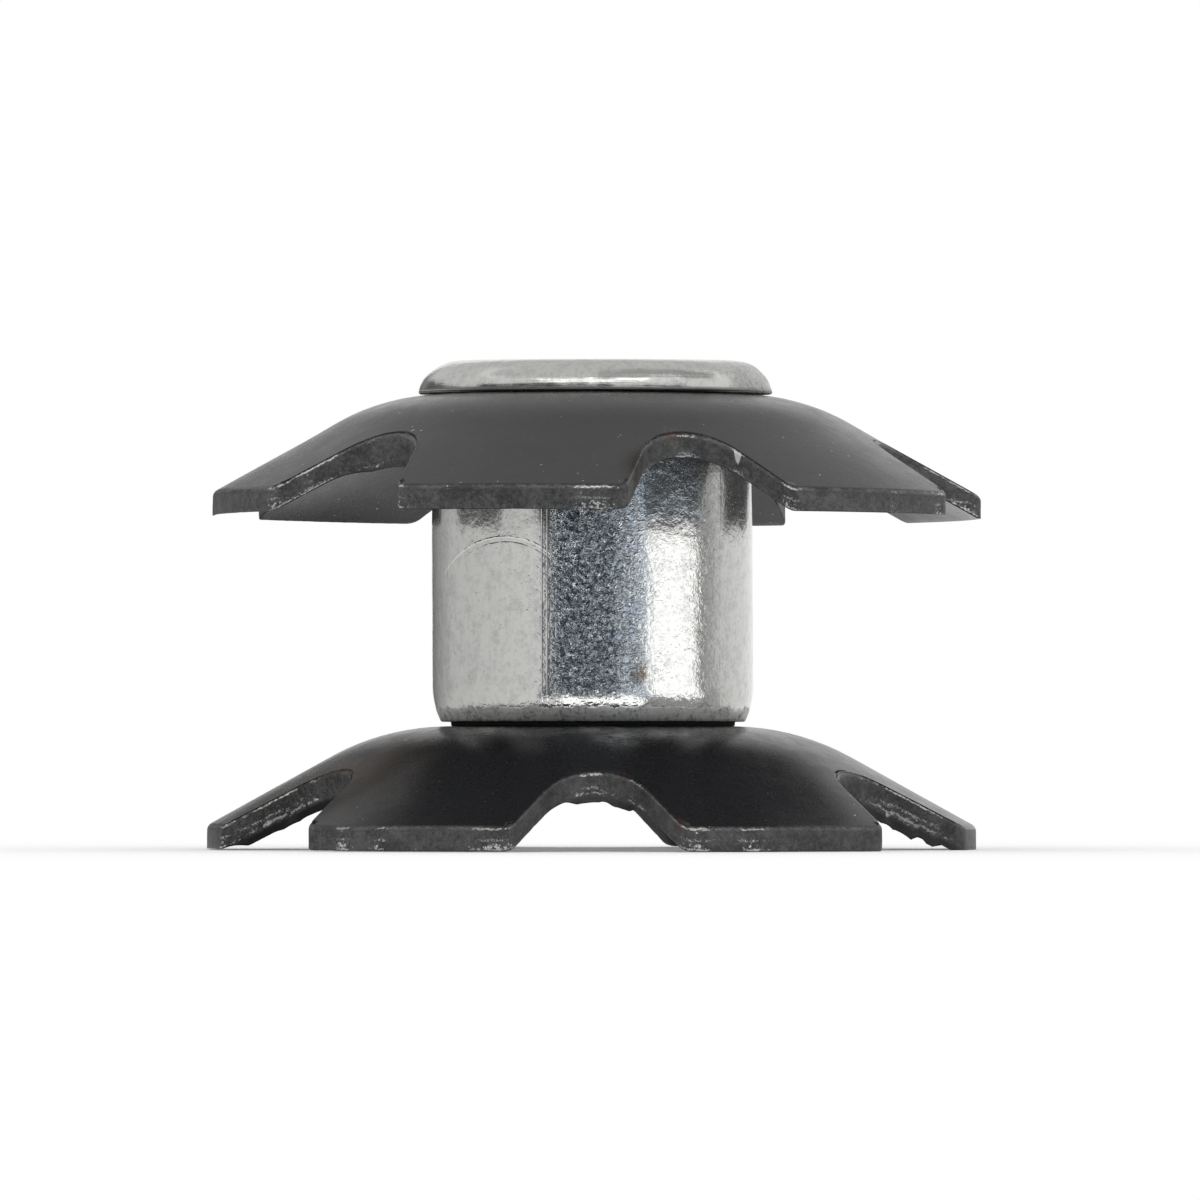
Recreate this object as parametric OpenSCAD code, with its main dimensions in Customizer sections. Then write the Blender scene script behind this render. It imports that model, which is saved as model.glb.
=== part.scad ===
// Star nut for a 1-1/8 in threadless steerer: a swaged nut body that holds
// two identical star washers, pressed from spring-steel sheet.
// Millimetres, +Z up. The origin is on the nut's axis, level with the ends of
// the lower star's tabs, which the nut stands on.

/* [Star washers] */
// Diameter over the ends of the tabs
star_d = 26; // [25:0.1:29]
// Thickness of the spring-steel sheet
sheet_t = 0.7; // [0.5:0.05:0.9]
// Diameter of the flat centre, which the nut body's collars seat on
flat_d = 9.6; // [9.2:0.1:10]
// Outside radius of the bend between the flat centre and the tabs
bend_r = 8.2; // [6.6:0.1:9]
// Slope of the tabs below the flat centre, in degrees
tab_angle = 29; // [20:1:32]
// Number of tabs on each star
tab_count = 6; // [5:1:6]
// Width of each tab, which has parallel sides
tab_w = 7.8; // [7:0.1:8.4]
// Radius at the root of each notch between two tabs
notch_r = 1.95; // [1:0.05:2.2]
// Radius of the corners at the end of each tab
corner_r = 0.7; // [0.3:0.05:1]
// Distance from the lower star to the upper one
star_pitch = 11.2; // [9:0.1:14]
// Turn of the upper star against the lower one, in degrees
upper_turn = 18; // [0:1:59]

/* [Nut body] */
// Diameter of the barrel between the stars
barrel_d = 10.85; // [10.5:0.05:11.5]
// Radius of the rounding at each end of the barrel
barrel_round_r = 2.75; // [2.4:0.05:5]
// Height of the rounding, which the end face of the barrel cuts off
barrel_round_h = 1.25; // [0.8:0.05:1.3]
// Diameter of the spigots that pass through the stars
spigot_d = 8.6; // [8:0.1:9]
// Height of the collars that keep the barrel and the heads off the stars
collar_h = 0.15; // [0.1:0.05:0.3]
// Diameter of the swaged head outside each star
head_d = 12; // [10.6:0.1:12.4]
// Height of each head above its collar
head_h = 1; // [0.8:0.05:1.2]
// Radius of the rounding around each head
head_round_r = 1.3; // [0.6:0.05:1.5]

/* [Thread] */
// Outside diameter of the thread
thread_d = 6; // [5:0.5:6]
// Pitch of the thread
thread_pitch = 1; // [0.8:0.05:1]
// Diameter of the chamfer at each mouth of the thread
mouth_d = 6.6; // [6.2:0.1:7]

/* [Fit] */
// Radial clearance of each spigot in its star's hole
spigot_gap = 0.05; // [0.02:0.01:0.1]

/* [Hidden] */
facets = 96;
arc_steps = 10;
overlap = 0.5;
// Angle at which an arc crosses a straight side, so that the two cut cleanly
crossing = 6;
steel_black = [0.13, 0.13, 0.14];
zinc_grey = [0.72, 0.73, 0.74];

star_r = star_d / 2;
flat_r = flat_d / 2;
spigot_r = spigot_d / 2;
rim_h = sheet_t / cos(tab_angle);
bend_end_r = flat_r + bend_r * sin(tab_angle);
bend_drop = bend_r * (1 - cos(tab_angle));
star_h = rim_h + (star_r - bend_end_r) * tan(tab_angle) + bend_drop;
half_step = 180 / tab_count;
first_notch = -90;

// Heights on the nut body, from the plane halfway between the stars
seat_z = (star_pitch - sheet_t) / 2;
barrel_end_z = seat_z - collar_h;
head_seat_z = seat_z + sheet_t;
head_low_z = head_seat_z + collar_h;
head_top_z = head_low_z + head_h;

// Points along an arc, ends included
function arc(centre, r, from, to) = [
    for (i = [0 : arc_steps])
        let (angle = from + (to - from) * i / arc_steps)
            centre + r * [cos(angle), sin(angle)]
];

// Half section of the pressed sheet: flat centre, bend, then straight slope
module sheet_section() {
    hole_r = spigot_r + spigot_gap;
    bend_centre = [flat_r, star_h - bend_r];
    slope = 90 - tab_angle;
    polygon(concat(
        [[hole_r, star_h - sheet_t]],
        arc(bend_centre, bend_r - sheet_t, 90, slope),
        [[star_r, 0], [star_r, rim_h]],
        arc(bend_centre, bend_r, slope, 90),
        [[hole_r, star_h]]
    ));
}

// Plan of one notch, along +X: straight sides that run into the root's arc
module notch_plan() {
    sides_meet_x = tab_w / 2 / sin(half_step);
    to_side = notch_r * cos(crossing);
    root_x = sides_meet_x + to_side / sin(half_step);
    foot = [root_x - to_side * sin(half_step), to_side * cos(half_step)];
    outer_x = star_r + overlap;
    outer_y = (outer_x - sides_meet_x) * tan(half_step);
    translate([root_x, 0]) circle(notch_r, $fn = facets);
    polygon([[foot.x, -foot.y], [outer_x, -outer_y], [outer_x, outer_y], foot]);
}

// Plan of what is cut off one corner of a tab that lies along +X
module corner_plan() {
    to_side = corner_r * cos(crossing);
    arc_y = tab_w / 2 - to_side;
    centre = [sqrt(pow(star_r - to_side, 2) - pow(arc_y, 2)), arc_y];
    outer = centre * (star_r + overlap) / (star_r - to_side);
    side_y = tab_w / 2 + overlap;
    difference() {
        polygon([centre, outer, [outer.x, side_y], [centre.x, side_y]]);
        translate(centre) circle(corner_r, $fn = facets);
    }
}

// One star washer, standing on its tabs
module star() {
    color(steel_black) difference() {
        rotate_extrude($fn = facets) sheet_section();
        translate([0, 0, -overlap]) linear_extrude(star_h + 2 * overlap)
            for (i = [0 : tab_count - 1]) {
                rotate(first_notch + 2 * i * half_step) notch_plan();
                rotate(first_notch + (2 * i + 1) * half_step)
                    for (side = [0, 1]) mirror([0, side]) corner_plan();
            }
    }
}

// Half section of the nut body, from its middle plane to the end face of its head
module half_body_section() {
    barrel_r = barrel_d / 2;
    bore_r = (thread_d - thread_pitch) / 2;
    mouth_r = mouth_d / 2;
    barrel_arc = [barrel_r - barrel_round_r, barrel_end_z - barrel_round_h];
    head_arc = [head_d / 2 - head_round_r, head_top_z - head_round_r];
    head_cut = max(0, head_round_r - head_h) / head_round_r;
    polygon(concat(
        [[bore_r, -overlap], [barrel_r, -overlap]],
        arc(barrel_arc, barrel_round_r, 0, asin(barrel_round_h / barrel_round_r)),
        [[flat_r, barrel_end_z], [flat_r, seat_z], [spigot_r, seat_z]],
        [[spigot_r, head_seat_z], [flat_r, head_seat_z], [flat_r, head_low_z]],
        head_h > head_round_r ? [[head_d / 2, head_low_z]] : [],
        arc(head_arc, head_round_r, asin(head_cut), 90),
        [[mouth_r, head_top_z], [bore_r, head_top_z - (mouth_r - bore_r)]]
    ));
}

// The nut body: barrel, spigots and swaged heads in one piece, bored for its thread
module nut_body() {
    color(zinc_grey) translate([0, 0, star_h + seat_z])
        for (side = [0, 1]) mirror([0, 0, side])
            rotate_extrude($fn = facets) half_body_section();
}

module upper_star() {
    translate([0, 0, star_pitch]) rotate([0, 0, upper_turn]) star();
}

module lower_star() {
    star();
}

nut_body();
upper_star();
lower_star();
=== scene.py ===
import math
from types import SimpleNamespace

import bmesh
import bpy
from mathutils import Matrix, Vector, noise


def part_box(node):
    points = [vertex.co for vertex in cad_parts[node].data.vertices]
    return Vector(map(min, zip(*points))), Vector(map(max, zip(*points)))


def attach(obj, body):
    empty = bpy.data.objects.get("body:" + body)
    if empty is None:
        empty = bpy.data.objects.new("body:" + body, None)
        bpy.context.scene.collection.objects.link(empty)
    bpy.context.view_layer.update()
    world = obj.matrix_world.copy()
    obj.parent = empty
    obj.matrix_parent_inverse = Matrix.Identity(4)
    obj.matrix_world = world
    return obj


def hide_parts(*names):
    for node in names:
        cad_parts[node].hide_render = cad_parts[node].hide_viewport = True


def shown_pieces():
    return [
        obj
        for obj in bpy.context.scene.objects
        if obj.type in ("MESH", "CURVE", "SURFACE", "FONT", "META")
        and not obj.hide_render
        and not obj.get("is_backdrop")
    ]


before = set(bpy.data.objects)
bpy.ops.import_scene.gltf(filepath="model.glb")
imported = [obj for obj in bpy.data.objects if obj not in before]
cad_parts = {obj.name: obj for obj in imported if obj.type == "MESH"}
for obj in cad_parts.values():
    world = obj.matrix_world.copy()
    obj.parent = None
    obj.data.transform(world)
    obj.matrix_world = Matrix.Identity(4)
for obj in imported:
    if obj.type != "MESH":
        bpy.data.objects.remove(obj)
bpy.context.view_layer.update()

mm = 0.001
up = Vector((0, 0, 1))
origin = Vector((0, 0, 0))


cameraSetup = {
    "name": "frontCamera",
    "place": (0.00024, -0.378, 0.0029),
    "pitch": 90.84,         # degrees, 90 looks level
    "lens": 335,            # a long lens, so the tabs barely taper
    "sensor": 36,
    "clip": (0.01, 50),
}


def addObject(name, data):
    made = bpy.data.objects.new(name, data)
    bpy.context.scene.collection.objects.link(made)
    return made


def addCamera():
    data = bpy.data.cameras.new(cameraSetup["name"])
    data.lens = cameraSetup["lens"]
    data.sensor_width = cameraSetup["sensor"]
    data.clip_start, data.clip_end = cameraSetup["clip"]
    camera = addObject(cameraSetup["name"], data)
    camera.location = cameraSetup["place"]
    camera.rotation_euler = (math.radians(cameraSetup["pitch"]), 0, 0)
    bpy.context.scene.camera = camera


def addMesh(bm, name, material):
    # bm is in millimetres, the finished mesh in metres
    bmesh.ops.scale(bm, vec=(mm, mm, mm), verts=bm.verts[:])
    mesh = bpy.data.meshes.new(name)
    bm.to_mesh(mesh)
    bm.free()
    mesh.materials.append(material)
    return addObject(name, mesh)


def addSmoothMesh(bm, name, material):
    bmesh.ops.recalc_face_normals(bm, faces=bm.faces[:])
    piece = addMesh(bm, name, material)
    piece.data.shade_smooth()
    return piece


def smoothStep(low, high, value):
    share = min(1, max(0, (value - low) / (high - low)))
    return share * share * (3 - 2 * share)


def arcPoints(centre, radius, start, end, steps):
    # points of an arc in the plane of radius and height, ends included
    points = []
    for i in range(steps + 1):
        angle = math.radians(start + (end - start) * i / steps)
        points.append((centre[0] + radius * math.cos(angle), centre[1] + radius * math.sin(angle)))
    return points


def newMaterial(name):
    material = bpy.data.materials.new(name)
    material.use_nodes = True
    tree = material.node_tree
    tree.nodes.clear()
    output = tree.nodes.new("ShaderNodeOutputMaterial")
    return material, tree, output


def addNode(tree, kind, inputs=(), **settings):
    # inputs are (socket, value) pairs, where a value may be another node's output
    made = tree.nodes.new(kind)
    for key, value in settings.items():
        setattr(made, key, value)
    for socket, value in inputs:
        if isinstance(value, bpy.types.NodeSocket):
            tree.links.new(value, made.inputs[socket])
        else:
            made.inputs[socket].default_value = value
    return made


def addAttribute(tree, name):
    return addNode(tree, "ShaderNodeAttribute", attribute_name=name).outputs["Fac"]


def addMath(tree, operation, first, *others):
    # any number of values, joined by one operation
    for other in others or (0.0,):
        first = addNode(tree, "ShaderNodeMath", [(0, first), (1, other)], operation=operation).outputs[0]
    return first


def addSum(tree, *values):
    return addMath(tree, "ADD", *values)


def addProduct(tree, *values):
    return addMath(tree, "MULTIPLY", *values)


def addLargest(tree, *values):
    return addMath(tree, "MAXIMUM", *values)


def addRest(tree, share):
    # what is left of 1
    return addMath(tree, "SUBTRACT", 1.0, share)


def addWeighted(tree, *parts):
    # a sum of values, each times its own weight
    return addSum(tree, *[addProduct(tree, value, weight) for value, weight in parts])


def addHypotenuse(tree, first, second):
    squares = addSum(tree, addMath(tree, "POWER", first, 2.0), addMath(tree, "POWER", second, 2.0))
    return addMath(tree, "SQRT", squares)


def addMillimetres(tree, stretch=(1, 1, 1)):
    # object coordinates in millimetres
    coords = addNode(tree, "ShaderNodeTexCoord").outputs["Object"]
    scale = tuple(1 / mm * s for s in stretch)
    return addNode(tree, "ShaderNodeMapping", [("Vector", coords), ("Scale", scale)]).outputs[0]


def addNoise(tree, vector, scale, detail=3.0, roughness=0.5, distortion=0.0):
    inputs = [("Vector", vector), ("Scale", scale), ("Detail", detail), ("Roughness", roughness),
              ("Distortion", distortion)]
    return addNode(tree, "ShaderNodeTexNoise", inputs).outputs[0]


def addRange(tree, value, fromLow, fromHigh, toLow=0.0, toHigh=1.0):
    inputs = [("Value", value), ("From Min", fromLow), ("From Max", fromHigh), ("To Min", toLow),
              ("To Max", toHigh)]
    return addNode(tree, "ShaderNodeMapRange", inputs, interpolation_type="SMOOTHSTEP").outputs[0]


def addColourMix(tree, share, first, second):
    made = addNode(tree, "ShaderNodeMix", data_type="RGBA")
    for socket, value in ((0, share), (6, first), (7, second)):
        if isinstance(value, bpy.types.NodeSocket):
            tree.links.new(value, made.inputs[socket])
        else:
            made.inputs[socket].default_value = (*value, 1) if isinstance(value, tuple) else value
    return made.outputs[2]


def addNumberMix(tree, share, first, second):
    inputs = [(0, share), (2, first), (3, second)]
    return addNode(tree, "ShaderNodeMix", inputs, data_type="FLOAT").outputs[0]


def addBump(tree, height, strength, distance, normal=None):
    inputs = [("Height", height), ("Strength", strength), ("Distance", distance)]
    if normal:
        inputs.append(("Normal", normal))
    return addNode(tree, "ShaderNodeBump", inputs).outputs[0]


def addLine(tree, value, middle, width):
    # 1 along a line of this half width, falling to 0
    away = addMath(tree, "ABSOLUTE", addMath(tree, "SUBTRACT", value, middle))
    return addRange(tree, away, 0, width, 1, 0)


studio = {
    "floorSize": 20000,     # millimetres, as the cards' sizes
    "floorColour": (0.8, 0.8, 0.8, 1),
    "floorGlow": 0.2,
    "worldLight": 1.0,
    "cardDistance": 300,
    "flagDistance": 295,    # flags hang in front of the other cards
    "cardLift": 0.06,       # of what lies on the floor
    "arcSteps": 12,
    "sweepSteps": 24,
    # azimuth from and to, reach along the floor from and to, elevation from and to, glow at each end;
    # azimuth 0 is the camera's side
    "cards": {
        "farLeftCard": (-170, -120, (15, 300), (0, 19), (0.12, 0.57)),
        "leftCard": (-120, -34, (15, 300), (0, 19), (0.60, 0.775)),
        "frontFlag": (-34, 17.5, (19.6, 300), (0, 19), (0.16, 0.16)),
        "frontGap": (17.5, 39.2, (22, 300), (0, 19), (0.67, 0.59)),
        "rightBox": (39.2, 79.5, (24, 300), (0, 19), (1.55, 1.55)),
        "rightFlag": (79.5, 100, (15, 300), (0, 19), (0.28, 0.58)),
        "backRightCard": (100, 170, (15, 300), (0, 30), (0.7, 1.0)),
        "highFlag": (-62, 15, None, (9, 44), (0.05, 0.05)),
        "highFlagLeft": (-92, -62, None, (9, 35), (0.06, 0.05)),
        "highFlagFarLeft": (-150, -92, None, (9, 24), (0.12, 0.08)),
        "highFlagRight": (15, 66, None, (9, 37), (0.05, 0.05)),
        "patchFlag": (86, 122, None, (46, 62), (0.34, 0.34)),
        "highFlagFarRight": (66, 150, None, (9, 19), (0.06, 0.06)),
        "sideLeft": (-170, -62, None, (19, 51), (0.6, 0.8)),
        "aboveFlag": (-62, 15, None, (43, 51), (0.75, 0.75)),
        "sideRight": (15, 112, None, (19, 51), (0.8, 0.8)),
        "topStrip": (-50, 46, None, (51, 57), (2.4, 2.4)),
        "sideBand": (108, 298, None, (54, 64), (0.74, 0.56)),
        "ceilingFlag": (10, 120, None, (62, 82), (0.38, 0.42)),
        "ceiling": (-180, 180, None, (57, 89), (0.62, 0.62)),
        "backCard": (130, 210, None, (30, 67), (0.6, 0.6)),
        "lowShine": (-19, 31, (14.8, 19.4), None, (2.0, 2.0)),
        "lowRight": (34, 84, (14.8, 24), None, (0.36, 0.36)),
        "lowFlag": (-34, 100, (13.0, 14.8), None, (0.5, 0.5)),
        "lowBackRight": (100, 150, (13.0, 14.9), None, (1.3, 1.3)),
    },
    "coolCards": ("frontFlag", "frontGap"),
    "plainTint": (1, 1, 1, 1),
    "coolTint": (0.86, 0.98, 1.13, 1),
}


def makeCardFinish(name, tint):
    material, tree, output = newMaterial(name)
    shine = addNode(tree, "ShaderNodeEmission", [("Color", tint), ("Strength", addAttribute(tree, "glow"))])
    tree.links.new(shine.outputs[0], output.inputs[0])
    material.cycles.emission_sampling = "NONE"
    return material


def cardProfile(name, reach, rise):
    # out along the floor and then up, as radius and height
    profile = [(radius, studio["cardLift"]) for radius in reach or ()]
    if rise:
        distance = studio["flagDistance"] if "Flag" in name else studio["cardDistance"]
        profile += arcPoints((0, 0), distance, *rise, studio["arcSteps"])[1 if reach else 0:]
    return profile


def addCards():
    # studio cards that show in reflections alone: a profile swept round the part
    plain = makeCardFinish("plainCard", studio["plainTint"])
    cool = makeCardFinish("coolCard", studio["coolTint"])
    for name, (left, right, reach, rise, (glowLeft, glowRight)) in studio["cards"].items():
        bm = bmesh.new()
        glowLayer = bm.verts.layers.float.new("glow")
        turn = Matrix.Rotation(math.radians(left - 90), 3, "Z")
        profile = cardProfile(name, reach, rise)
        line = [bm.verts.new(turn @ Vector((radius, 0, height))) for radius, height in profile]
        edges = [bm.edges.new(pair) for pair in zip(line, line[1:])]
        bmesh.ops.spin(bm, geom=line + edges, cent=origin, axis=up, angle=math.radians(right - left),
                       steps=studio["sweepSteps"])
        for vert in bm.verts:
            azimuth = math.degrees(math.atan2(vert.co.x, -vert.co.y))
            share = ((azimuth - left + 1) % 360 - 1) / (right - left)
            vert[glowLayer] = glowLeft + (glowRight - glowLeft) * min(1, max(0, share))
        card = addMesh(bm, name, cool if name in studio["coolCards"] else plain)
        card.visible_camera = False
        card.visible_diffuse = False
        card.visible_shadow = False
        card.visible_transmission = False
        card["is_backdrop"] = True


def addFloor():
    material, tree, output = newMaterial("paleFloor")
    path = addNode(tree, "ShaderNodeLightPath").outputs
    seen = addLargest(tree, path["Is Camera Ray"], path["Is Glossy Ray"], path["Is Transmission Ray"])
    matt = addNode(tree, "ShaderNodeBsdfDiffuse", [("Color", studio["floorColour"])])
    lift = addNode(tree, "ShaderNodeEmission", [("Strength", addProduct(tree, seen, studio["floorGlow"]))])
    both = addNode(tree, "ShaderNodeAddShader", [(0, matt.outputs[0]), (1, lift.outputs[0])])
    tree.links.new(both.outputs[0], output.inputs[0])
    bm = bmesh.new()
    bmesh.ops.create_grid(bm, x_segments=1, y_segments=1, size=studio["floorSize"] / 2)
    floor = addMesh(bm, "studioFloor", material)
    floor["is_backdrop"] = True


def addWorld():
    world = bpy.data.worlds.new("studioWorld")
    bpy.context.scene.world = world
    world.use_nodes = True
    background = world.node_tree.nodes["Background"]
    background.inputs["Color"].default_value = (1, 1, 1, 1)
    background.inputs["Strength"].default_value = studio["worldLight"]
    world.cycles.sampling_method = "NONE"   # so that the cards hide the world in reflections


blackSteel = {
    "name": "blackSpringSteel",
    "skin": (0.018, 0.0183, 0.020),
    "skinBrown": (0.048, 0.038, 0.030),
    # light grey of the worn patches and of the top edge's light line, partly painted highlight
    "highlightScuffed": (0.23, 0.228, 0.22),
    "cutDark": (0.033, 0.033, 0.03355),     # the cut faces are mottled between these two
    "cutLight": (0.099, 0.099, 0.10065),
    "bright": (0.66, 0.65, 0.63),
    "rust": (0.085, 0.042, 0.026),
    "ior": 1.45,
    "specular": 0.5,
    "brownSpecular": 0.05,
    "underSpecular": 0.65,  # the underside's part of the rest's
    "skinRoughness": 0.27,
    "cutRoughness": 0.45,
    "brightRoughness": 0.3,
    "skinDepth": 0.00002,   # depths in metres
    "tornDepth": 0.00006,
    # parts of the way up the cut face, from 0 at the underside to 1 at the top
    "cutStart": (0.03, 0.08),
    "burrEnd": (0.12, 0.2),  # burrs look like skin up to here
    "roundStart": 0.89,     # of the rounded top edge
    "topStart": (0.4, 0.8),  # brown and scuffs show above this
    "upperLine": 0.92,
    "lowerLine": 0.1,
    "burrLine": 0.24,       # the lower line's place on burrs
    "tearLine": 0.18,       # between sheared and torn steel
    "endTearLine": 0.48,    # its place on the tabs' ends
    "burrTearRise": 0.22,
    # place of the light line along the top edge, partly a painted highlight
    "highlightHandledLine": 0.93,
    "lineWidth": 0.05,
    "tabEnd": (12.2, 12.8),  # millimetres from the axis
}


def addSkin(tree, look, on):
    # blacking with a brown haze, and light grey worn patches that are partly painted highlights, on the top
    # of the sheet
    onTop = addRange(tree, on.share, *look["topStart"])
    haze = addProduct(tree, addRange(tree, on.cloud, 0.3, 0.6), on.brown, onTop)
    skin = addColourMix(tree, haze, look["skin"], look["skinBrown"])
    # light grey worn patches, partly painted highlights where the dome would reflect bright surroundings
    highlightScuff = addProduct(tree, addAttribute(tree, "highlightScuff"), onTop, addRange(tree, on.patches, 0.35, 0.6))
    return addColourMix(tree, highlightScuff, skin, look["highlightScuffed"])


def addGlints(tree, look, on, breaks):
    # broken lines along both edges of the cut faces and between sheared and torn steel,
    # where the blacking has rubbed off
    upper = addLine(tree, on.uneven, look["upperLine"], look["lineWidth"])
    lowerPlace = addRange(tree, on.burr, 0, 1, look["lowerLine"], look["burrLine"])
    lower = addLine(tree, on.uneven, lowerPlace, look["lineWidth"])
    tearPlace = addNumberMix(tree, on.tabEnd, look["tearLine"], look["endTearLine"])
    tearPlace = addSum(tree, tearPlace, addProduct(tree, on.burr, look["burrTearRise"]))
    wavy = addSum(tree, on.share, addRange(tree, on.patches, 0.3, 0.7, 0.05, -0.05))
    middle = addLine(tree, wavy, tearPlace, 1.4 * look["lineWidth"])
    middle = addProduct(tree, middle, on.rub, addRange(tree, on.fine, 0.42, 0.6))
    shown = addRange(tree, addSum(tree, breaks, addProduct(tree, on.rub, 0.2)), 0.6, 0.7)
    return addProduct(tree, shown, addLargest(tree, upper, lower, middle))


def addSpecks(tree, on, breaks):
    # on the cut faces, and more on the torn steel low on the tabs' ends
    tornEnd = addProduct(tree, addRange(tree, on.share, 0.25, 0.5, 0.11, 0), on.tabEnd)
    speckled = addSum(tree, breaks, addProduct(tree, on.rub, addSum(tree, tornEnd, 0.06)))
    return addProduct(tree, addRange(tree, speckled, 0.67, 0.71), on.cut)


def addGlintChips(tree, on):
    # wedges of torn metal, widest at the top edge, painted bright and matte as a glint
    glintChip = addAttribute(tree, "glintChip")
    wedge = addRange(tree, addSum(tree, glintChip, on.share), 1.38, 1.5)
    belowEdge = addRange(tree, on.share, 0.9, 0.96, 1, 0)
    return addProduct(tree, wedge, belowEdge, addRange(tree, glintChip, 0.05, 0.3))


def makeBlackSteel():
    look = blackSteel
    material, tree, output = newMaterial(look["name"])
    place = addMillimetres(tree)
    axes = addNode(tree, "ShaderNodeSeparateXYZ", [(0, place)]).outputs
    on = SimpleNamespace(
        share=addAttribute(tree, "cutShare"),
        rub=addAttribute(tree, "rub"),
        brown=addAttribute(tree, "brownTint"),
        burr=addAttribute(tree, "burr"),
        cloud=addNoise(tree, place, 0.5, detail=4),
        patches=addNoise(tree, place, 1.3, detail=5, roughness=0.7),
        grain=addNoise(tree, place, 6.0, detail=5, roughness=0.65),
        fine=addNoise(tree, place, 20.0, detail=2),
        tabEnd=addRange(tree, addHypotenuse(tree, axes["X"], axes["Y"]), *look["tabEnd"]),
    )
    belowRound = addRange(tree, on.share, look["roundStart"] - 0.04, look["roundStart"] + 0.02, 1, 0)
    drawnDown = addProduct(tree, on.burr, addRange(tree, on.share, *look["burrEnd"], 1, 0))
    on.cut = addProduct(tree, addRange(tree, on.share, *look["cutStart"]), belowRound,
                        addRest(tree, drawnDown))
    on.uneven = addSum(tree, on.share, addRange(tree, on.grain, 0.3, 0.7, 0.03, -0.03))

    mottle = addWeighted(tree, (on.patches, 0.35), (on.grain, 0.35), (on.fine, 0.3))
    cutTone = addColourMix(tree, addRange(tree, mottle, 0.4, 0.62), look["cutDark"], look["cutLight"])
    colour = addColourMix(tree, on.cut, addSkin(tree, look, on), cutTone)
    rust = addProduct(tree, addAttribute(tree, "rustSpot"), addRange(tree, on.share, 0.55, 0.85),
                      addRange(tree, on.grain, 0.42, 0.62))
    colour = addColourMix(tree, rust, colour, look["rust"])
    # a light line along the cut faces' top edge: partly handling wear, partly a painted highlight
    highlightHandled = addProduct(tree, addLine(tree, on.uneven, look["highlightHandledLine"], 1.6 * look["lineWidth"]),
                         addRange(tree, on.share, 0.985, 0.998, 1, 0),
                         addRange(tree, on.patches, 0.35, 0.6, 0.1, 0.4))
    colour = addColourMix(tree, highlightHandled, colour, look["highlightScuffed"])

    # bright metal, and dust on the skin
    flakes = addNoise(tree, place, 9.0, detail=4, roughness=0.7)
    breaks = addWeighted(tree, (on.patches, 0.35), (flakes, 0.65))
    glints = addGlints(tree, look, on, breaks)
    specks = addSpecks(tree, on, breaks)
    glintChips = addGlintChips(tree, on)
    dust = addRange(tree, addNoise(tree, place, 7.2, detail=0), 0.865, 0.88)
    dust = addProduct(tree, dust, addRest(tree, on.cut))
    bright = addLargest(tree, glints, specks, glintChips, dust)
    colour = addColourMix(tree, bright, colour, look["bright"])
    scattering = addProduct(tree, addLargest(tree, glintChips, specks), 0.6)     # torn metal scatters the light; on the wedges of torn metal this paints a bright glint
    metallic = addMath(tree, "SUBTRACT", bright, scattering)

    roughness = addSum(tree, addRange(tree, on.patches, 0.3, 0.7, -0.03, 0.04), look["skinRoughness"])
    roughness = addNumberMix(tree, on.cut, roughness, look["cutRoughness"])
    roughness = addNumberMix(tree, bright, roughness, look["brightRoughness"])
    specular = addProduct(tree, addRange(tree, on.brown, 0, 0.6, look["specular"], look["brownSpecular"]),
                          addRange(tree, on.share, 0, look["cutStart"][0], look["underSpecular"], 1))
    bump = addBump(tree, addWeighted(tree, (on.fine, 1), (on.patches, 3)), 0.1, look["skinDepth"])
    torn = addWeighted(tree, (on.grain, on.cut), (specks, 0.6))
    bump = addBump(tree, torn, 0.35, look["tornDepth"], bump)
    shader = addNode(tree, "ShaderNodeBsdfPrincipled", [
        ("Base Color", colour), ("Metallic", metallic), ("Roughness", roughness), ("IOR", look["ior"]),
        ("Specular IOR Level", specular), ("Normal", bump)])
    tree.links.new(shader.outputs[0], output.inputs[0])
    return material


zinc = {
    "name": "zincPlate",
    "plate": (0.70, 0.70, 0.675),
    "dull": (0.605, 0.61, 0.595),
    "stain": (0.27, 0.21, 0.16),
    # dark colour for dirt, and for painted shade in the gaps beside the stars
    "shadeAndGrime": (0.05, 0.05, 0.052),
    "bluish": (0.84, 0.92, 0.99),
    "pitted": (0.16, 0.20, 0.25),
    "roughness": 0.065,
    "addedRoughness": {     # by each part and kind of wear, and by the painted shade in the gaps beside the stars
        "fleck": 0.46,
        "soft": 0.04,
        "calm": 0.08,
        "head": 0.13,
        "swage": 0.12,
        "crevice": 0.5,
        "rubbed": 0.42,
    },
    "rubbedMetallic": 0.78,
    "flecksPerMm": 6.8,
    "grain": 0.0000105,     # depths in metres
    "ridges": 0.000038,
    "grooves": 0.000007,
    "draw": 0.000003,
    "waves": 0.000010,
    "cracks": 0.00012,
    # heights in mm over which the front turns calmer and softer under the upper star
    "calmFrom": (10.0, 10.9),
    "softFrom": (10.7, 11.5),
    # where it is bluish there, in mm across
    "blueFrom": (1.2, 2.0),
    "blueTo": (3.2, 3.9),
    # lines that the forming die left down the barrel's front, as distance from the axis in mm and depth
    "dieLines": ((-1.70, 0.8), (-1.52, 0.5), (-1.22, 0.9), (-1.10, 0.4), (4.28, 0.3)),
    "dieLineWidth": 0.03,
    "dieLineDepth": 0.000007,
    # a curved scratch: middle across and up, radius, lowest point that it shows at
    "scratch": (-2.96, 8.16, 2.33, 9.35),
    "scratchWidth": 0.055,
    "scratchLip": 0.14,     # from the scratch to the ridge that it threw up
    "scratched": (0.93, 0.93, 0.9),
    "stainAt": (1.58, -5.2, 5.92),
    "stainSize": 0.48,
}


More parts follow.
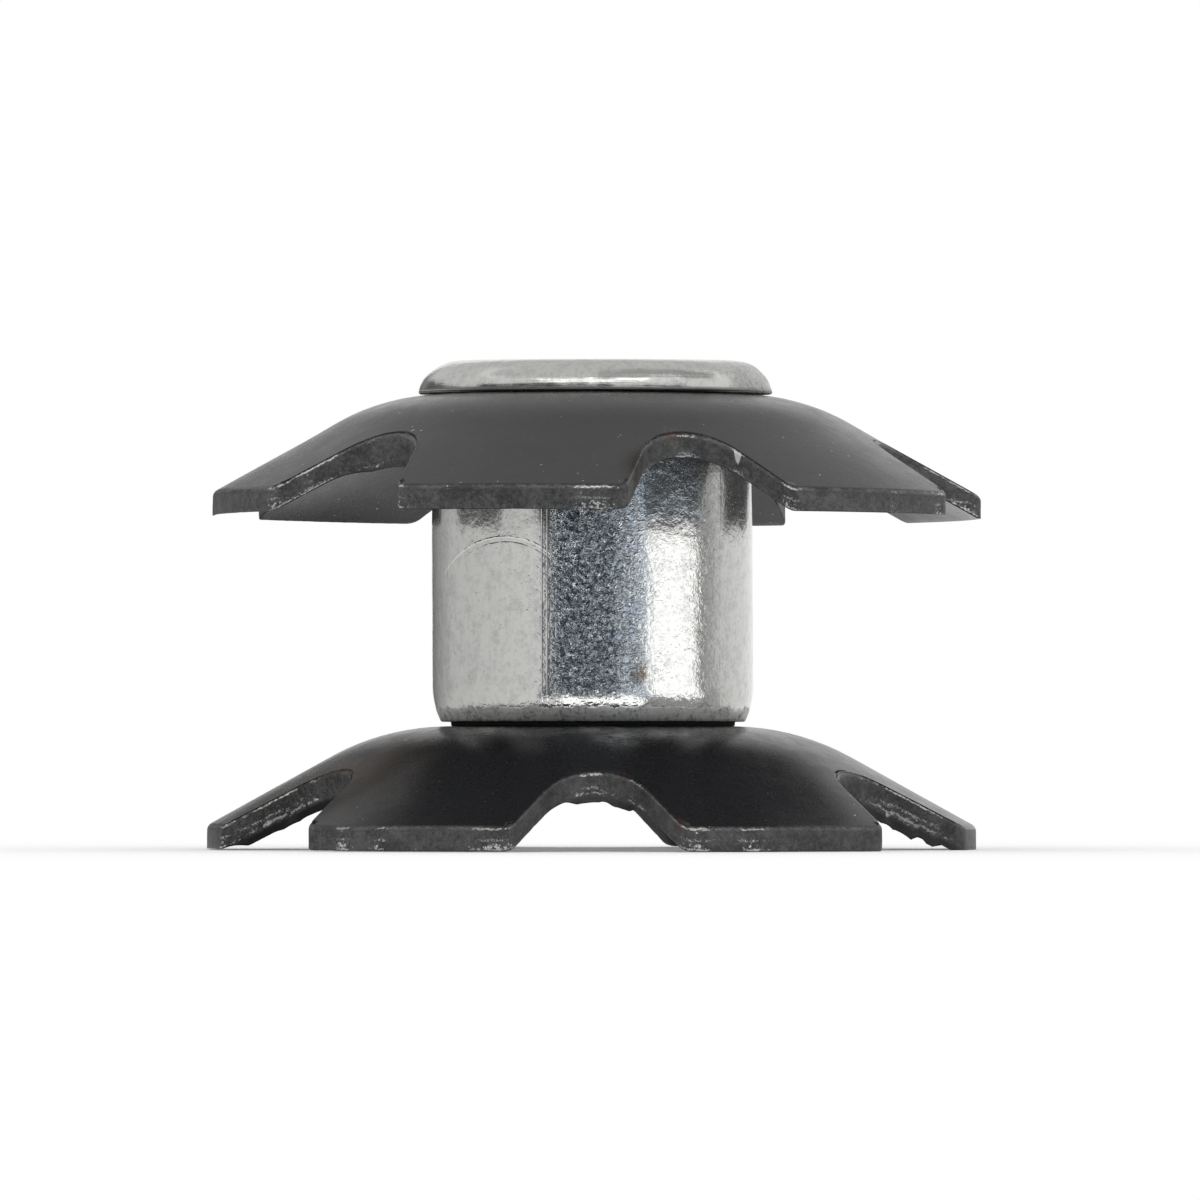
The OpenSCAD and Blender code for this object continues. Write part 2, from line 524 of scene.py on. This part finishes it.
def addScratches(tree, look, on):
    # how bright the curved scratch shows, and the heights of it and the die lines
    width = look["dieLineWidth"]
    dieLines = [(addLine(tree, on.x, across, width), depth) for across, depth in look["dieLines"]]
    dieLines = addProduct(tree, addWeighted(tree, *dieLines), on.front)
    across, height, radius, lowest = look["scratch"]
    out = addHypotenuse(tree, addMath(tree, "SUBTRACT", on.x, across),
                        addMath(tree, "SUBTRACT", on.z, height))
    shown = addProduct(tree, addRange(tree, on.z, lowest - 0.2, lowest + 0.2), on.front)
    scratch = addProduct(tree, addLine(tree, out, radius, look["scratchWidth"]), shown,
                         addRange(tree, on.grain, 0.35, 0.5, 0.4, 1))
    lip = addProduct(tree, addLine(tree, out, radius - look["scratchLip"], look["scratchWidth"]), shown)
    return scratch, addWeighted(tree, (dieLines, 1), (scratch, 0.35), (lip, -0.35))


def addDullStretch(tree, look, on, colour):
    # bluish plating with dark pits, crowded on one stretch of the barrel
    colour = addColourMix(tree, addProduct(tree, on.flecked, 0.75), colour, look["bluish"])
    pits = addProduct(tree, addRange(tree, on.grain, 0.49, 0.6), on.flecked, 0.9)
    return addColourMix(tree, pits, colour, look["pitted"])


def addStains(tree, look, on, colour):
    # one spot of dirt, and short handling marks
    inputs = [(0, on.place), (1, look["stainAt"])]
    away = addNode(tree, "ShaderNodeVectorMath", inputs, operation="DISTANCE").outputs["Value"]
    ragged = addSum(tree, away, addRange(tree, on.grain, 0.35, 0.65, -0.18, 0.18))
    stain = addProduct(tree, addRange(tree, ragged, 0, look["stainSize"], 1, 0),
                       addRange(tree, on.crystals, 0.3, 0.55, 0.5, 1))
    colour = addColourMix(tree, stain, colour, look["stain"])
    colour = addColourMix(tree, on.scratch, colour, look["scratched"])
    hairs = addNoise(tree, on.place, 1.7, detail=3, roughness=0.6, distortion=1.0)
    hairs = addProduct(tree, addLine(tree, hairs, 0.5, 0.012), addRange(tree, on.cloud, 0.5, 0.62),
                       on.front, 0.5)
    return addColourMix(tree, hairs, colour, look["stain"])


def addShadeAndGrime(tree, look, on, colour):
    # dirt in the swaged edge's splits and where the stars rubbed, and painted shade in the gaps beside the
    # stars
    splits = addNoise(tree, addMillimetres(tree, (1, 1, 0.5)), 3.4, detail=4, roughness=0.6, distortion=1.5)
    splits = addProduct(tree, addLine(tree, splits, 0.5, 0.025), on.swage, 0.7)
    rubDirt = addProduct(tree, addRange(tree, on.cloud, 0.4, 0.55), on.rubbed, 0.5,
                         addRange(tree, on.crystals, 0.46, 0.64))
    return addColourMix(tree, addLargest(tree, splits, on.crevice, rubDirt), colour, look["shadeAndGrime"])


def addZincColour(tree, look, on):
    brushed = addNoise(tree, addMillimetres(tree, (1, 1, 0.12)), 5.0, detail=4, roughness=0.7)
    dulled = addWeighted(tree, (on.cloud, 0.45), (brushed, 0.2), (on.grain, 0.35))
    colour = addColourMix(tree, addRange(tree, dulled, 0.44, 0.58), look["plate"], look["dull"])
    blue = addProduct(tree, on.soft, addRange(tree, on.x, *look["blueFrom"]),
                      addRange(tree, on.x, *look["blueTo"], 0.8, 0))
    colour = addColourMix(tree, blue, colour, look["bluish"])
    colour = addDullStretch(tree, look, on, colour)
    colour = addStains(tree, look, on, colour)
    return addShadeAndGrime(tree, look, on, colour)


def addZincRoughness(tree, look, on):
    fleck = addRange(tree, addSum(tree, on.crystals, addProduct(tree, on.flecked, 0.12)), 0.62, 0.78)
    shares = {"fleck": fleck, "soft": on.soft, "calm": on.calm, "head": on.head, "swage": on.swage,
              "crevice": on.crevice, "rubbed": on.rubbed}
    added = [(shares[name], amount) for name, amount in look["addedRoughness"].items()]
    return addSum(tree, look["roughness"], addWeighted(tree, *added))


def addZincBump(tree, look, on, marks):
    grain = addProduct(tree, on.grain, addRest(tree, addProduct(tree, on.head, 0.8)),
                       addRest(tree, addProduct(tree, on.calm, 0.65)))
    ridges = addNoise(tree, on.place, 4.5, detail=2, roughness=0.6, distortion=1.2)
    drift = addNoise(tree, on.place, 0.9, detail=2)
    ridges = addProduct(tree, addLine(tree, ridges, 0.5, 0.1), on.flecked,
                        addRange(tree, drift, 0.35, 0.6, 0.55, 1.2))
    draw = addNoise(tree, addMillimetres(tree, (1, 1, 0.06)), 7.0, detail=3)
    turned = addNode(tree, "ShaderNodeCombineXYZ", [(0, addHypotenuse(tree, on.x, on.y)), (2, on.z)])
    grooves = addNoise(tree, turned.outputs[0], 9.0, detail=3, roughness=0.6)
    cracks = addNoise(tree, on.place, 4.5, detail=5, roughness=0.7)
    bump = None
    for height, depth in (
            (addNoise(tree, on.place, 2.3, detail=2), look["waves"]),
            (grain, look["grain"]),
            (ridges, look["ridges"]),
            (addProduct(tree, draw, on.barrel), look["draw"]),
            (addProduct(tree, grooves, addLargest(tree, on.head, on.rubbed)), look["grooves"]),
            (addProduct(tree, cracks, on.swage), look["cracks"]),
            (marks, look["dieLineDepth"])):
        bump = addBump(tree, height, 1.0, depth, bump)
    return bump


def makeZinc():
    look = zinc
    material, tree, output = newMaterial(look["name"])
    place = addMillimetres(tree)
    x, y, z = addNode(tree, "ShaderNodeSeparateXYZ", [(0, place)]).outputs
    barrel = addAttribute(tree, "barrel")
    cloud = addNoise(tree, place, 2.4, detail=5, roughness=0.6)
    front = addProduct(tree, addMath(tree, "LESS_THAN", y, 0.0), barrel)
    rubbed = addSum(tree, addAttribute(tree, "rubbed"), addRange(tree, cloud, 0.3, 0.7, -0.4, 0.4))
    on = SimpleNamespace(
        place=place,
        x=x,
        y=y,
        z=z,
        barrel=barrel,
        head=addRest(tree, barrel),
        front=front,
        calm=addProduct(tree, addRange(tree, z, *look["calmFrom"]), front),
        soft=addProduct(tree, addRange(tree, z, *look["softFrom"]), front),
        swage=addAttribute(tree, "swage"),
        crevice=addAttribute(tree, "crevice"),
        flecked=addAttribute(tree, "flecked"),
        rubbed=addRange(tree, rubbed, 0.25, 0.9),
        cloud=cloud,
        grain=addNoise(tree, place, look["flecksPerMm"], detail=2.5, roughness=0.62),
        crystals=addNoise(tree, place, look["flecksPerMm"], detail=3, roughness=0.65, distortion=0.8),
    )
    on.scratch, marks = addScratches(tree, look, on)
    shader = addNode(tree, "ShaderNodeBsdfPrincipled", [
        ("Base Color", addZincColour(tree, look, on)),
        ("Metallic", addRange(tree, on.rubbed, 0, 1, 1, look["rubbedMetallic"])),
        ("Roughness", addZincRoughness(tree, look, on)),
        ("Normal", addZincBump(tree, look, on, marks))])
    tree.links.new(shader.outputs[0], output.inputs[0])
    return material


star = {
    "holeRadius": 4.42,
    "flatRadius": 4.8,
    "bendRadius": 8.2,
    "slope": 29,            # degrees below the flat centre
    "thickness": 0.7,
    "tabs": 6,
    "tabWidth": 7.8,
    "notchRadius": 1.95,
    "cornerRadius": 0.4,
    "alongSteps": 80,       # faces along half a tab's outline
    "acrossSteps": 24,
    "crowding": 1.3,        # of those faces towards the outline, 1 for even steps
    "wallCuts": 4,
    "sharpEdge": 60,        # degrees
    # the punch rolled the top edge over, more than the underside's: size and segments
    "topRound": (0.13, 3),
    "underRound": (0.04, 2),
    "blankHeight": 0.8,     # of the flat blank, before it is pressed
    "tear": 0.014,          # roughness of the cut faces, most at the underside
    "tearScales": (2.6, 6.1),   # per mm, coarse and fine
    "burrReach": 0.34,      # part of the cut face's height that a burr draws down
    "burrWidth": 1.6,       # how broad its full drop is, above 1 for a flatter lump
    "ripple": 0.012,        # unevenness of the pressed sheet
    "rippleScale": 0.35,
    "shoulder": (4.9, 6.5, 7.6, 9.8),   # from the axis, where the crown starts, is full, and ends
}

# how each star differs from a perfect one, in degrees and millimetres. Marks are places in plan on the
# turned blank, as (x, y, radius), and a burr's fourth number is how far the edge is drawn down
lowerMarks = {
    "turn": 0.9,
    "crown": 0,             # how much fuller the shoulder is
    "shift": (-0.085, 0),   # of the finished star on the nut
    "blankShift": (0.04, 0),    # how the blank sat in the press
    "rubs": ((-3.2, -12.5, 1.3), (3.4, -12.3, 1.1), (5.3, -11.9, 0.9), (-8.2, -10.15, 0.6),
             (-6.9, -11.0, 0.5), (0.1, -9.75, 1.0), (1.6, -10.3, 0.8), (10.6, -3.8, 2.4),
             (-10.6, -3.95, 2.3), (-12.3, -3.95, 0.6)),
    "rust": ((1.08, -9.9, 0.35), (2.9, -12.4, 0.5)),
    "brown": ((-9, -5, 6.5),),
    # light grey worn patches, partly painted highlights on the dome near the barrel
    "highlightScuffs": ((0.4, -6.1, 1.3), (0.9, -7.2, 1.2), (5.6, -2.8, 1.6), (-3.5, -5.2, 1.2)),
    "glintChips": (),
    "burrs": ((-0.08, -9.8, 0.9, 0.2), (1.0, -10.0, 0.75, 0.28), (-9.1, -4.0, 1.5, 0.35),
              (-10.85, -3.95, 1.4, 0.33), (9.4, -3.9, 0.9, 0.48), (10.45, -3.85, 0.8, 0.5),
              (11.37, -3.75, 0.36, 0.22), (11.6, -3.8, 1.2, 0.2)),
    "burrShade": 1,         # how much burrs look like skin
}
upperMarks = {
    "turn": 16.9,
    "crown": 0.045,
    "shift": (0, 0),
    "blankShift": (0.14, 0),
    "rubs": ((0.0, -12.9, 1.4), (-6.35, -11.2, 0.45), (-9.4, -6.95, 2.0), (-10.6, -7.4, 0.8),
             (-7.5, -7.3, 1.2), (3.1, -9.2, 0.7), (4.85, -9.6, 0.6), (6.5, -11.2, 0.7), (12.5, -0.3, 1.0),
             (11.6, -0.55, 0.8), (11.4, -6.2, 0.8), (9.9, -8.4, 0.4)),
    "rust": ((2.6, -9.3, 0.5),),
    "brown": ((2.35, -11.6, 2.1),),
    # a light grey worn patch, partly a painted highlight on the dome's rim under the head
    "highlightScuffs": ((0.2, -5.2, 0.9),),
    # a wedge of torn metal, painted bright and matte as a glint
    "glintChips": ((4.78, -9.68, 0.34),),
    "burrs": ((-6.7, -7.3, 2.2, 0.32),),
    "burrShade": 0.2,
}


class TabOutline:
    # half a tab's outline, from the middle of its end to the middle of the notch; the tab lies along X
    def __init__(self, rimRadius):
        half = star["tabWidth"] / 2
        halfStep = math.pi / star["tabs"]
        rounding, notch = star["cornerRadius"], star["notchRadius"]
        toCorner = rimRadius - rounding
        cornerY = half - rounding
        corner = (math.sqrt(toCorner ** 2 - cornerY ** 2), cornerY)
        cornerTurn = math.atan2(cornerY, corner[0])
        toRoot = (half + notch) / math.sin(halfStep)
        root = (toRoot * math.cos(halfStep), half + notch)
        self.arcs = [
            ((0, 0), rimRadius, 0, cornerTurn),
            (corner, rounding, cornerTurn, math.pi / 2),
            None,
            (root, notch, -math.pi / 2, halfStep - math.pi),
        ]
        self.wall = (corner[0], root[0], half)
        self.lengths = [rimRadius * cornerTurn, rounding * (math.pi / 2 - cornerTurn), corner[0] - root[0],
                        notch * (math.pi / 2 - halfStep)]

    def point(self, share):
        way = share * sum(self.lengths)
        for arc, length in zip(self.arcs, self.lengths):
            if way <= length or arc is self.arcs[-1]:
                break
            way -= length
        part = min(1, way / length)
        if arc is None:
            start, end, y = self.wall
            return Vector((start + (end - start) * part, y, 0))
        (x, y), radius, start, end = arc
        angle = start + (end - start) * part
        return Vector((x + radius * math.cos(angle), y + radius * math.sin(angle), 0))


def pressedHeights(radius, topZ):
    # heights of the pressed sheet's top and underside at a distance from the axis
    slope = math.radians(star["slope"])
    heights = []
    for drop in (0, star["thickness"]):
        bend = star["bendRadius"] - drop
        out = max(0, radius - star["flatRadius"])
        bendEnd = bend * math.sin(slope)
        if out < bendEnd:
            heights.append(topZ - drop - bend + math.sqrt(bend ** 2 - out ** 2))
        else:
            heights.append(topZ - drop - bend * (1 - math.cos(slope)) - (out - bendEnd) * math.tan(slope))
    return heights


def near(vert, x, y, radius):
    # 1 at a place in plan, falling to 0 at this radius
    return smoothStep(radius, 0, math.hypot(vert.co.x - x, vert.co.y - y))


def makeBlank(outline):
    # half a tab of the flat blank, then its mirror image, then all the tabs
    bm = bmesh.new()
    bmesh.ops.create_grid(bm, x_segments=star["alongSteps"], y_segments=star["acrossSteps"], size=0.5)
    halfStep = math.pi / star["tabs"]
    for vert in bm.verts:
        along, across = vert.co.x + 0.5, vert.co.y + 0.5
        inner = Vector((math.cos(halfStep * along), math.sin(halfStep * along), 0)) * star["holeRadius"]
        vert.co = inner.lerp(outline.point(along), 1 - (1 - across) ** star["crowding"])
    bmesh.ops.mirror(bm, geom=bm.verts[:] + bm.edges[:] + bm.faces[:], matrix=Matrix.Identity(4),
                     merge_dist=0.001, axis="Y")
    bmesh.ops.spin(bm, geom=bm.verts[:] + bm.edges[:] + bm.faces[:], cent=origin, axis=up,
                   angle=2 * halfStep * (star["tabs"] - 1), steps=star["tabs"] - 1, use_duplicate=True)
    bmesh.ops.remove_doubles(bm, verts=bm.verts[:], dist=0.001)
    bmesh.ops.recalc_face_normals(bm, faces=bm.faces[:])

    # thickness, with a few rows of faces up each wall
    thick = star["blankHeight"]
    bmesh.ops.solidify(bm, geom=bm.faces[:], thickness=thick)
    lowest = min(vert.co.z for vert in bm.verts)
    bmesh.ops.translate(bm, vec=(0, 0, -lowest), verts=bm.verts[:])
    upright = [edge for edge in bm.edges if abs(edge.verts[0].co.z - edge.verts[1].co.z) > thick / 2]
    bmesh.ops.subdivide_edges(bm, edges=upright, cuts=star["wallCuts"], use_grid_fill=True)
    for (offset, segments), onTop in ((star["topRound"], True), (star["underRound"], False)):
        sharp = [edge for edge in bm.edges if edge.is_manifold
                 and edge.calc_face_angle() > math.radians(star["sharpEdge"])
                 and (edge.verts[0].co.z > thick / 2) == onTop]
        bmesh.ops.bevel(bm, geom=sharp, offset=offset, segments=segments, profile=0.5, affect="EDGES",
                        material=-1)
    return bm


def wearBlank(bm, marks):
    # the cut faces are torn and in places drawn down into burrs; edges are worn where something rubbed
    spots = {"rub": "rubs", "rustSpot": "rust", "brownTint": "brown", "highlightScuff": "highlightScuffs", "glintChip": "glintChips"}
    layers = {layer: bm.verts.layers.float.new(layer) for layer in ("cutShare", "burr", *spots)}
    bm.normal_update()
    coarse, fine = star["tearScales"]
    moves = []
    for vert in bm.verts:
        share = vert.co.z / star["blankHeight"]
        vert[layers["cutShare"]] = share
        for layer, key in spots.items():
            vert[layers[layer]] = max([near(vert, *spot) for spot in marks[key]], default=0)
        outward = Vector((vert.normal.x, vert.normal.y, 0))
        if outward.length > 0.3:
            tear = noise.noise(vert.co * coarse) + 0.6 * noise.noise(vert.co * fine)
            moves.append((vert, outward * tear * star["tear"] * (1.4 - share)))
        for x, y, radius, drop in marks["burrs"]:
            lump = min(1, star["burrWidth"] * near(vert, x, y, radius))
            vert[layers["burr"]] = max(vert[layers["burr"]], lump * marks["burrShade"])
            down = drop * lump * smoothStep(star["burrReach"], 0, share)
            moves.append((vert, Vector((0, 0, -down))))
    for vert, move in moves:
        vert.co += move


def pressBlank(bm, marks, floorZ, topZ):
    # press the blank to its dished form; nothing dips under the floor
    crownStart, crownFull, crownFade, crownEnd = star["shoulder"]
    for vert in bm.verts:
        radius = math.hypot(vert.co.x, vert.co.y)
        top, bottom = pressedHeights(radius, topZ)
        vert.co.z = bottom + (top - bottom) * vert.co.z / star["blankHeight"]
        crown = smoothStep(crownStart, crownFull, radius) * smoothStep(crownEnd, crownFade, radius)
        vert.co.z += marks["crown"] * crown
        vert.co.z = max(floorZ, vert.co.z + star["ripple"] * noise.noise(vert.co * star["rippleScale"]))


def buildStar(name, node, marks, material):
    low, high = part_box(node)
    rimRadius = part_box("lower_star")[1].x / mm
    bm = makeBlank(TabOutline(rimRadius))
    print(name, "blank:", len(bm.verts), "points")
    bmesh.ops.rotate(bm, cent=origin, matrix=Matrix.Rotation(math.radians(marks["turn"]), 3, "Z"),
                     verts=bm.verts[:])
    bmesh.ops.translate(bm, vec=(*marks["blankShift"], 0), verts=bm.verts[:])
    wearBlank(bm, marks)
    pressBlank(bm, marks, low.z / mm, high.z / mm)
    bmesh.ops.translate(bm, vec=(*marks["shift"], 0), verts=bm.verts[:])

    piece = addSmoothMesh(bm, name, material)
    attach(piece, "root")
    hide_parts(node)
    return piece


nut = {
    "barrelRadius": 5.435,
    "barrelRound": 2.75,
    "barrelRoundHeight": 1.25,
    "collarRadius": 4.8,
    "collarHeight": 0.15,
    "spigotRadius": 4.3,
    "headRadius": 6.0,
    "headHeight": 1.0,
    "headRound": 1.3,
    "lipFoot": 5.2,         # radius at which the head's underside leaves its collar
    "lipRound": 0.08,
    "lipDrop": 0.14,        # the upper head's lip was swaged down towards the star
    "lipGap": 0.04,         # that the lip keeps to the star, beyond this radius
    "lipReach": 5.1,
    "boreRadius": 2.5,
    "threadRadius": 2.98,
    "pitch": 1.0,
    "threadCrest": 0.25,    # parts of the pitch
    "threadFlank": 0.3125,
    "mouthRadius": 3.3,
    "turns": 240,           # faces round the nut
    "barrelRows": 16,       # faces from its middle to its round
    "barrelRoundRows": 14,
    "lipRows": 5,
    "headRoundRows": 24,
    "endRows": 8,
    "rowHeight": 0.1,       # of the faces in the bore
    "edgeRound": 0.04,
    "sharpEdge": 20,        # degrees
    "headTilt": 1.2,        # degrees, the swaged face dips towards the front
    "headLift": 0.02,
    "headShift": 0.075,     # the swaging pushed the head over to the right
    "headBlend": 0.2,       # over this much either side of its underside
    "slump": 0.12,          # and its top left edge lies further in, growing between these
    "slumpUp": (0.3, 0.9),  # heights above its underside
    "slumpAcross": (1, -4),     # and these places across
    "lean": -0.0045,        # of the barrel, across for each mm up
    "barrelShift": -0.02,
    "taper": 0.035,         # the barrel draws in, between these heights above its middle
    "taperUp": (1.0, 3.0),
    "waviness": 0.012,      # of all surfaces, and again in finer waves on the upper head
    "waveScales": (0.6, 2.4),   # per mm
    "swageDepth": 0.03,     # of its rough stretch
    "swageOut": (4.9, 5.4),     # from the axis, where that starts and is full
    "rubbedWithin": (0.60, 0.40),   # of the barrel's ends, where the stars rubbed it
    "creviceOut": (5.15, 4.95),     # painted shade on the barrel's ends keeps close to the collars
    # stretches as degrees from +X towards +Y: the dull one of the barrel, where it thins out twice,
    # and the rough one of the upper head's edge
    "fleckedFrom": -104,
    "fleckedTo": -82,
    "fleckedEnd": (-76, -70),
    "fleckedBeside": 0.42,  # as dense to the right of it, and further on
    "fleckedRest": 0.03,
    "swageFrom": -36,
    "swageTo": 8,
}


def halfProfile(levels, lipDrop):
    # from the barrel's middle to the mouth of the bore, as radius and height above the middle
    seat, headTop = levels.seat, levels.headTop
    barrelEnd = seat - nut["collarHeight"]
    headSeat = seat + star["thickness"]
    headLow = headSeat + nut["collarHeight"]
    barrelCentre = (nut["barrelRadius"] - nut["barrelRound"], barrelEnd - nut["barrelRoundHeight"])
    barrelTurn = math.degrees(math.asin(nut["barrelRoundHeight"] / nut["barrelRound"]))
    headCentre = (nut["headRadius"] - nut["headRound"], headTop - nut["headRound"])
    lip = nut["lipRound"]
    # where the round of the head runs into the small round of its lip
    lipZ = headLow - lipDrop + lip
    headTurn = math.degrees(math.asin((lipZ - headCentre[1]) / nut["headRound"]))
    lipRadius = headCentre[0] + nut["headRound"] * math.cos(math.radians(headTurn)) - lip
    rows = nut["barrelRows"]
    points = [(nut["barrelRadius"], barrelCentre[1] * i / rows) for i in range(rows)]
    points += arcPoints(barrelCentre, nut["barrelRound"], 0, barrelTurn, nut["barrelRoundRows"])
    points += [(nut["collarRadius"], barrelEnd), (nut["collarRadius"], seat), (nut["spigotRadius"], seat)]
    points += [(nut["spigotRadius"], headSeat), (nut["collarRadius"], headSeat)]
    points += [(nut["collarRadius"], headLow), (nut["lipFoot"], headLow - lipDrop * 0.4)]
    points += arcPoints((lipRadius, lipZ), lip, -90, headTurn, nut["lipRows"])
    points += arcPoints(headCentre, nut["headRound"], headTurn, 90, nut["headRoundRows"])[1:]
    flat = headCentre[0] - nut["mouthRadius"]
    rows = nut["endRows"]
    points += [(headCentre[0] - flat * i / rows, headTop) for i in range(1, rows + 1)]
    return points


def nutLevels():
    # middle and headLow, the upper head's underside, are heights above the floor; seat and headTop
    # are distances from the middle, to each star's seat and to each end
    low, high = (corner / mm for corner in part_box("nut_body"))
    middle = (low.z + high.z) / 2
    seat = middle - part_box("lower_star")[1].z / mm
    headTop = seat + star["thickness"] + nut["collarHeight"] + nut["headHeight"]
    return SimpleNamespace(middle=middle, seat=seat, headTop=headTop,
                           headLow=middle + headTop - nut["headHeight"])


def makeNutBlank(levels):
    # the whole profile, spun round the axis; the bore is still straight
    upper = halfProfile(levels, nut["lipDrop"])
    lower = [(radius, -height) for radius, height in reversed(halfProfile(levels, 0)[1:])]
    rows = round(2 * levels.headTop / nut["rowHeight"])
    bore = [(nut["mouthRadius"], levels.headTop - nut["rowHeight"] * i) for i in range(1, rows)]
    bm = bmesh.new()
    loop = [bm.verts.new((radius, 0, levels.middle + height)) for radius, height in lower + upper + bore]
    edges = [bm.edges.new(pair) for pair in zip(loop, loop[1:] + loop[:1])]
    bmesh.ops.spin(bm, geom=loop + edges, cent=origin, axis=up, angle=2 * math.pi, steps=nut["turns"],
                   use_merge=True)
    bmesh.ops.recalc_face_normals(bm, faces=bm.faces[:])
    sharp = [edge for edge in bm.edges if edge.is_manifold
             and edge.calc_face_angle() > math.radians(nut["sharpEdge"])]
    bmesh.ops.bevel(bm, geom=sharp, offset=nut["edgeRound"], segments=2, profile=0.5, affect="EDGES",
                    material=-1)
    return bm


def threadRadius(turn, height):
    # internal thread: crest at the bore, root further out, both flat
    phase = (height / nut["pitch"] - turn / (2 * math.pi)) % 1
    crest, flank = nut["threadCrest"], nut["threadFlank"]
    if phase < crest:
        depth = 0
    elif phase < crest + flank:
        depth = (phase - crest) / flank
    elif phase < 1 - flank:
        depth = 1
    else:
        depth = (1 - phase) / flank
    return nut["boreRadius"] + (nut["threadRadius"] - nut["boreRadius"]) * depth


def boreRadius(turn, z, toEnd):
    # the thread, or the chamfer at its mouths where that is wider
    chamfer = nut["mouthRadius"] - nut["boreRadius"]
    cone = nut["mouthRadius"] - toEnd if toEnd < chamfer else 0
    return max(threadRadius(turn, z), cone)


def headShare(place, levels):
    # 1 on the upper head, 0 on the barrel and below
    share = smoothStep(levels.headLow - nut["headBlend"], levels.headLow + nut["headBlend"], place.z)
    if place.z > levels.headLow - nut["collarHeight"]:
        radius = math.hypot(place.x, place.y)
        share = max(share, smoothStep(nut["collarRadius"] + 0.05, nut["lipFoot"], radius))
    return share


def fleckedShare(place, levels):
    # how dull the plating is: one stretch of the barrel's front, thinning out to its right
    degrees = math.degrees(math.atan2(place.y, place.x))
    dense = smoothStep(nut["fleckedFrom"] - 0.5, nut["fleckedFrom"] + 1.5, degrees)
    thinner = smoothStep(nut["fleckedTo"] - 2, nut["fleckedTo"] + 2, degrees) * (1 - nut["fleckedBeside"])
    thinner += smoothStep(*nut["fleckedEnd"], degrees) * (nut["fleckedBeside"] - nut["fleckedRest"])
    aboveRound = smoothStep(levels.seat - 0.9, levels.seat - 1.3, levels.middle - place.z)
    return dense * (1 - thinner) * aboveRound


def nutWear(place, onHead, levels):
    # how far each kind of finish and wear, and the painted shade beside the stars, shows at a place on the
    # outside
    degrees = math.degrees(math.atan2(place.y, place.x))
    radius = math.hypot(place.x, place.y)
    away = abs(place.z - levels.middle)
    wear = {"swage": onHead * smoothStep(*nut["swageOut"], radius)}
    wear["swage"] *= smoothStep(nut["swageFrom"] - 10, nut["swageFrom"] + 8, degrees)
    wear["swage"] *= smoothStep(nut["swageTo"] + 10, nut["swageTo"] - 8, degrees)
    barrelEnd = levels.seat - nut["collarHeight"]
    if away < levels.seat:
        wear["barrel"] = 1
        wear["rubbed"] = smoothStep(*nut["rubbedWithin"], barrelEnd - away)
        if place.y < 0:
            wear["flecked"] = fleckedShare(place, levels)
    # painted shade: under the upper head's lip, and on the barrel's ends beside the collars
    if away > levels.seat:
        gapEnd = levels.headTop - nut["headHeight"]
        wear["crevice"] = smoothStep(gapEnd + 0.08, gapEnd - 0.03, away)
        wear["crevice"] *= smoothStep(1.2 * nut["headRadius"], 0.55 * nut["headRadius"], abs(place.x))
    elif away > barrelEnd - 0.02:
        wear["crevice"] = smoothStep(*nut["creviceOut"], radius)
    return wear


def shapeNut(bm, levels):
    # cut the thread, wear the outside, and push the upper head over as its swaging did
    layers = {name: bm.verts.layers.float.new(name)
              for name in ("swage", "barrel", "crevice", "rubbed", "flecked")}
    tilt = math.tan(math.radians(nut["headTilt"]))
    wide, fine = nut["waveScales"]
    for vert in bm.verts:
        x, y, z = vert.co
        radius = math.hypot(x, y)
        turn = math.atan2(y, x)
        rise = z - levels.middle
        onHead = headShare(vert.co, levels)
        toEnd = levels.headTop - abs(rise)
        if radius < nut["mouthRadius"] + 0.001 and toEnd > 0.001:
            radius = boreRadius(turn, z, toEnd)
        else:
            wear = nutWear(vert.co, onHead, levels)
            for name, share in wear.items():
                vert[layers[name]] = share
            radius -= nut["taper"] * smoothStep(*nut["taperUp"], rise) * wear.get("barrel", 0)
            radius += nut["waviness"] * noise.noise(vert.co * wide)
            rough = nut["waviness"] * onHead + nut["swageDepth"] * wear["swage"]
            radius += rough * noise.noise(vert.co * fine)
        across = (nut["lean"] * rise + nut["barrelShift"]) * (1 - onHead) + nut["headShift"] * onHead
        slumped = smoothStep(*nut["slumpUp"], z - levels.headLow) * smoothStep(*nut["slumpAcross"], x)
        across += nut["slump"] * slumped
        height = z + onHead * (y * tilt + nut["headLift"])
        if onHead > 0 and radius > nut["lipReach"]:
            # the swaged lip lies on the sheet
            sheetTop = pressedHeights(radius, levels.middle + levels.seat + star["thickness"])[0]
            height = max(height, sheetTop + nut["lipGap"])
        vert.co = (radius * math.cos(turn) + across, radius * math.sin(turn), height)


def buildNut(material):
    levels = nutLevels()
    bm = makeNutBlank(levels)
    shapeNut(bm, levels)
    piece = addSmoothMesh(bm, "nutBody", material)
    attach(piece, "root")
    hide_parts("nut_body")
    return piece


addCamera()
addWorld()
addFloor()
addCards()
print("studio ready")

steel = makeBlackSteel()
zincPlate = makeZinc()
print("finishes ready")

buildStar("lowerStar", "lower_star", lowerMarks, steel)
buildStar("upperStar", "upper_star", upperMarks, steel)
buildNut(zincPlate)
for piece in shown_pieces():
    print(piece.name, sum(len(face.vertices) - 2 for face in piece.data.polygons), "triangles")

bpy.context.scene.view_settings.view_transform = "Standard"
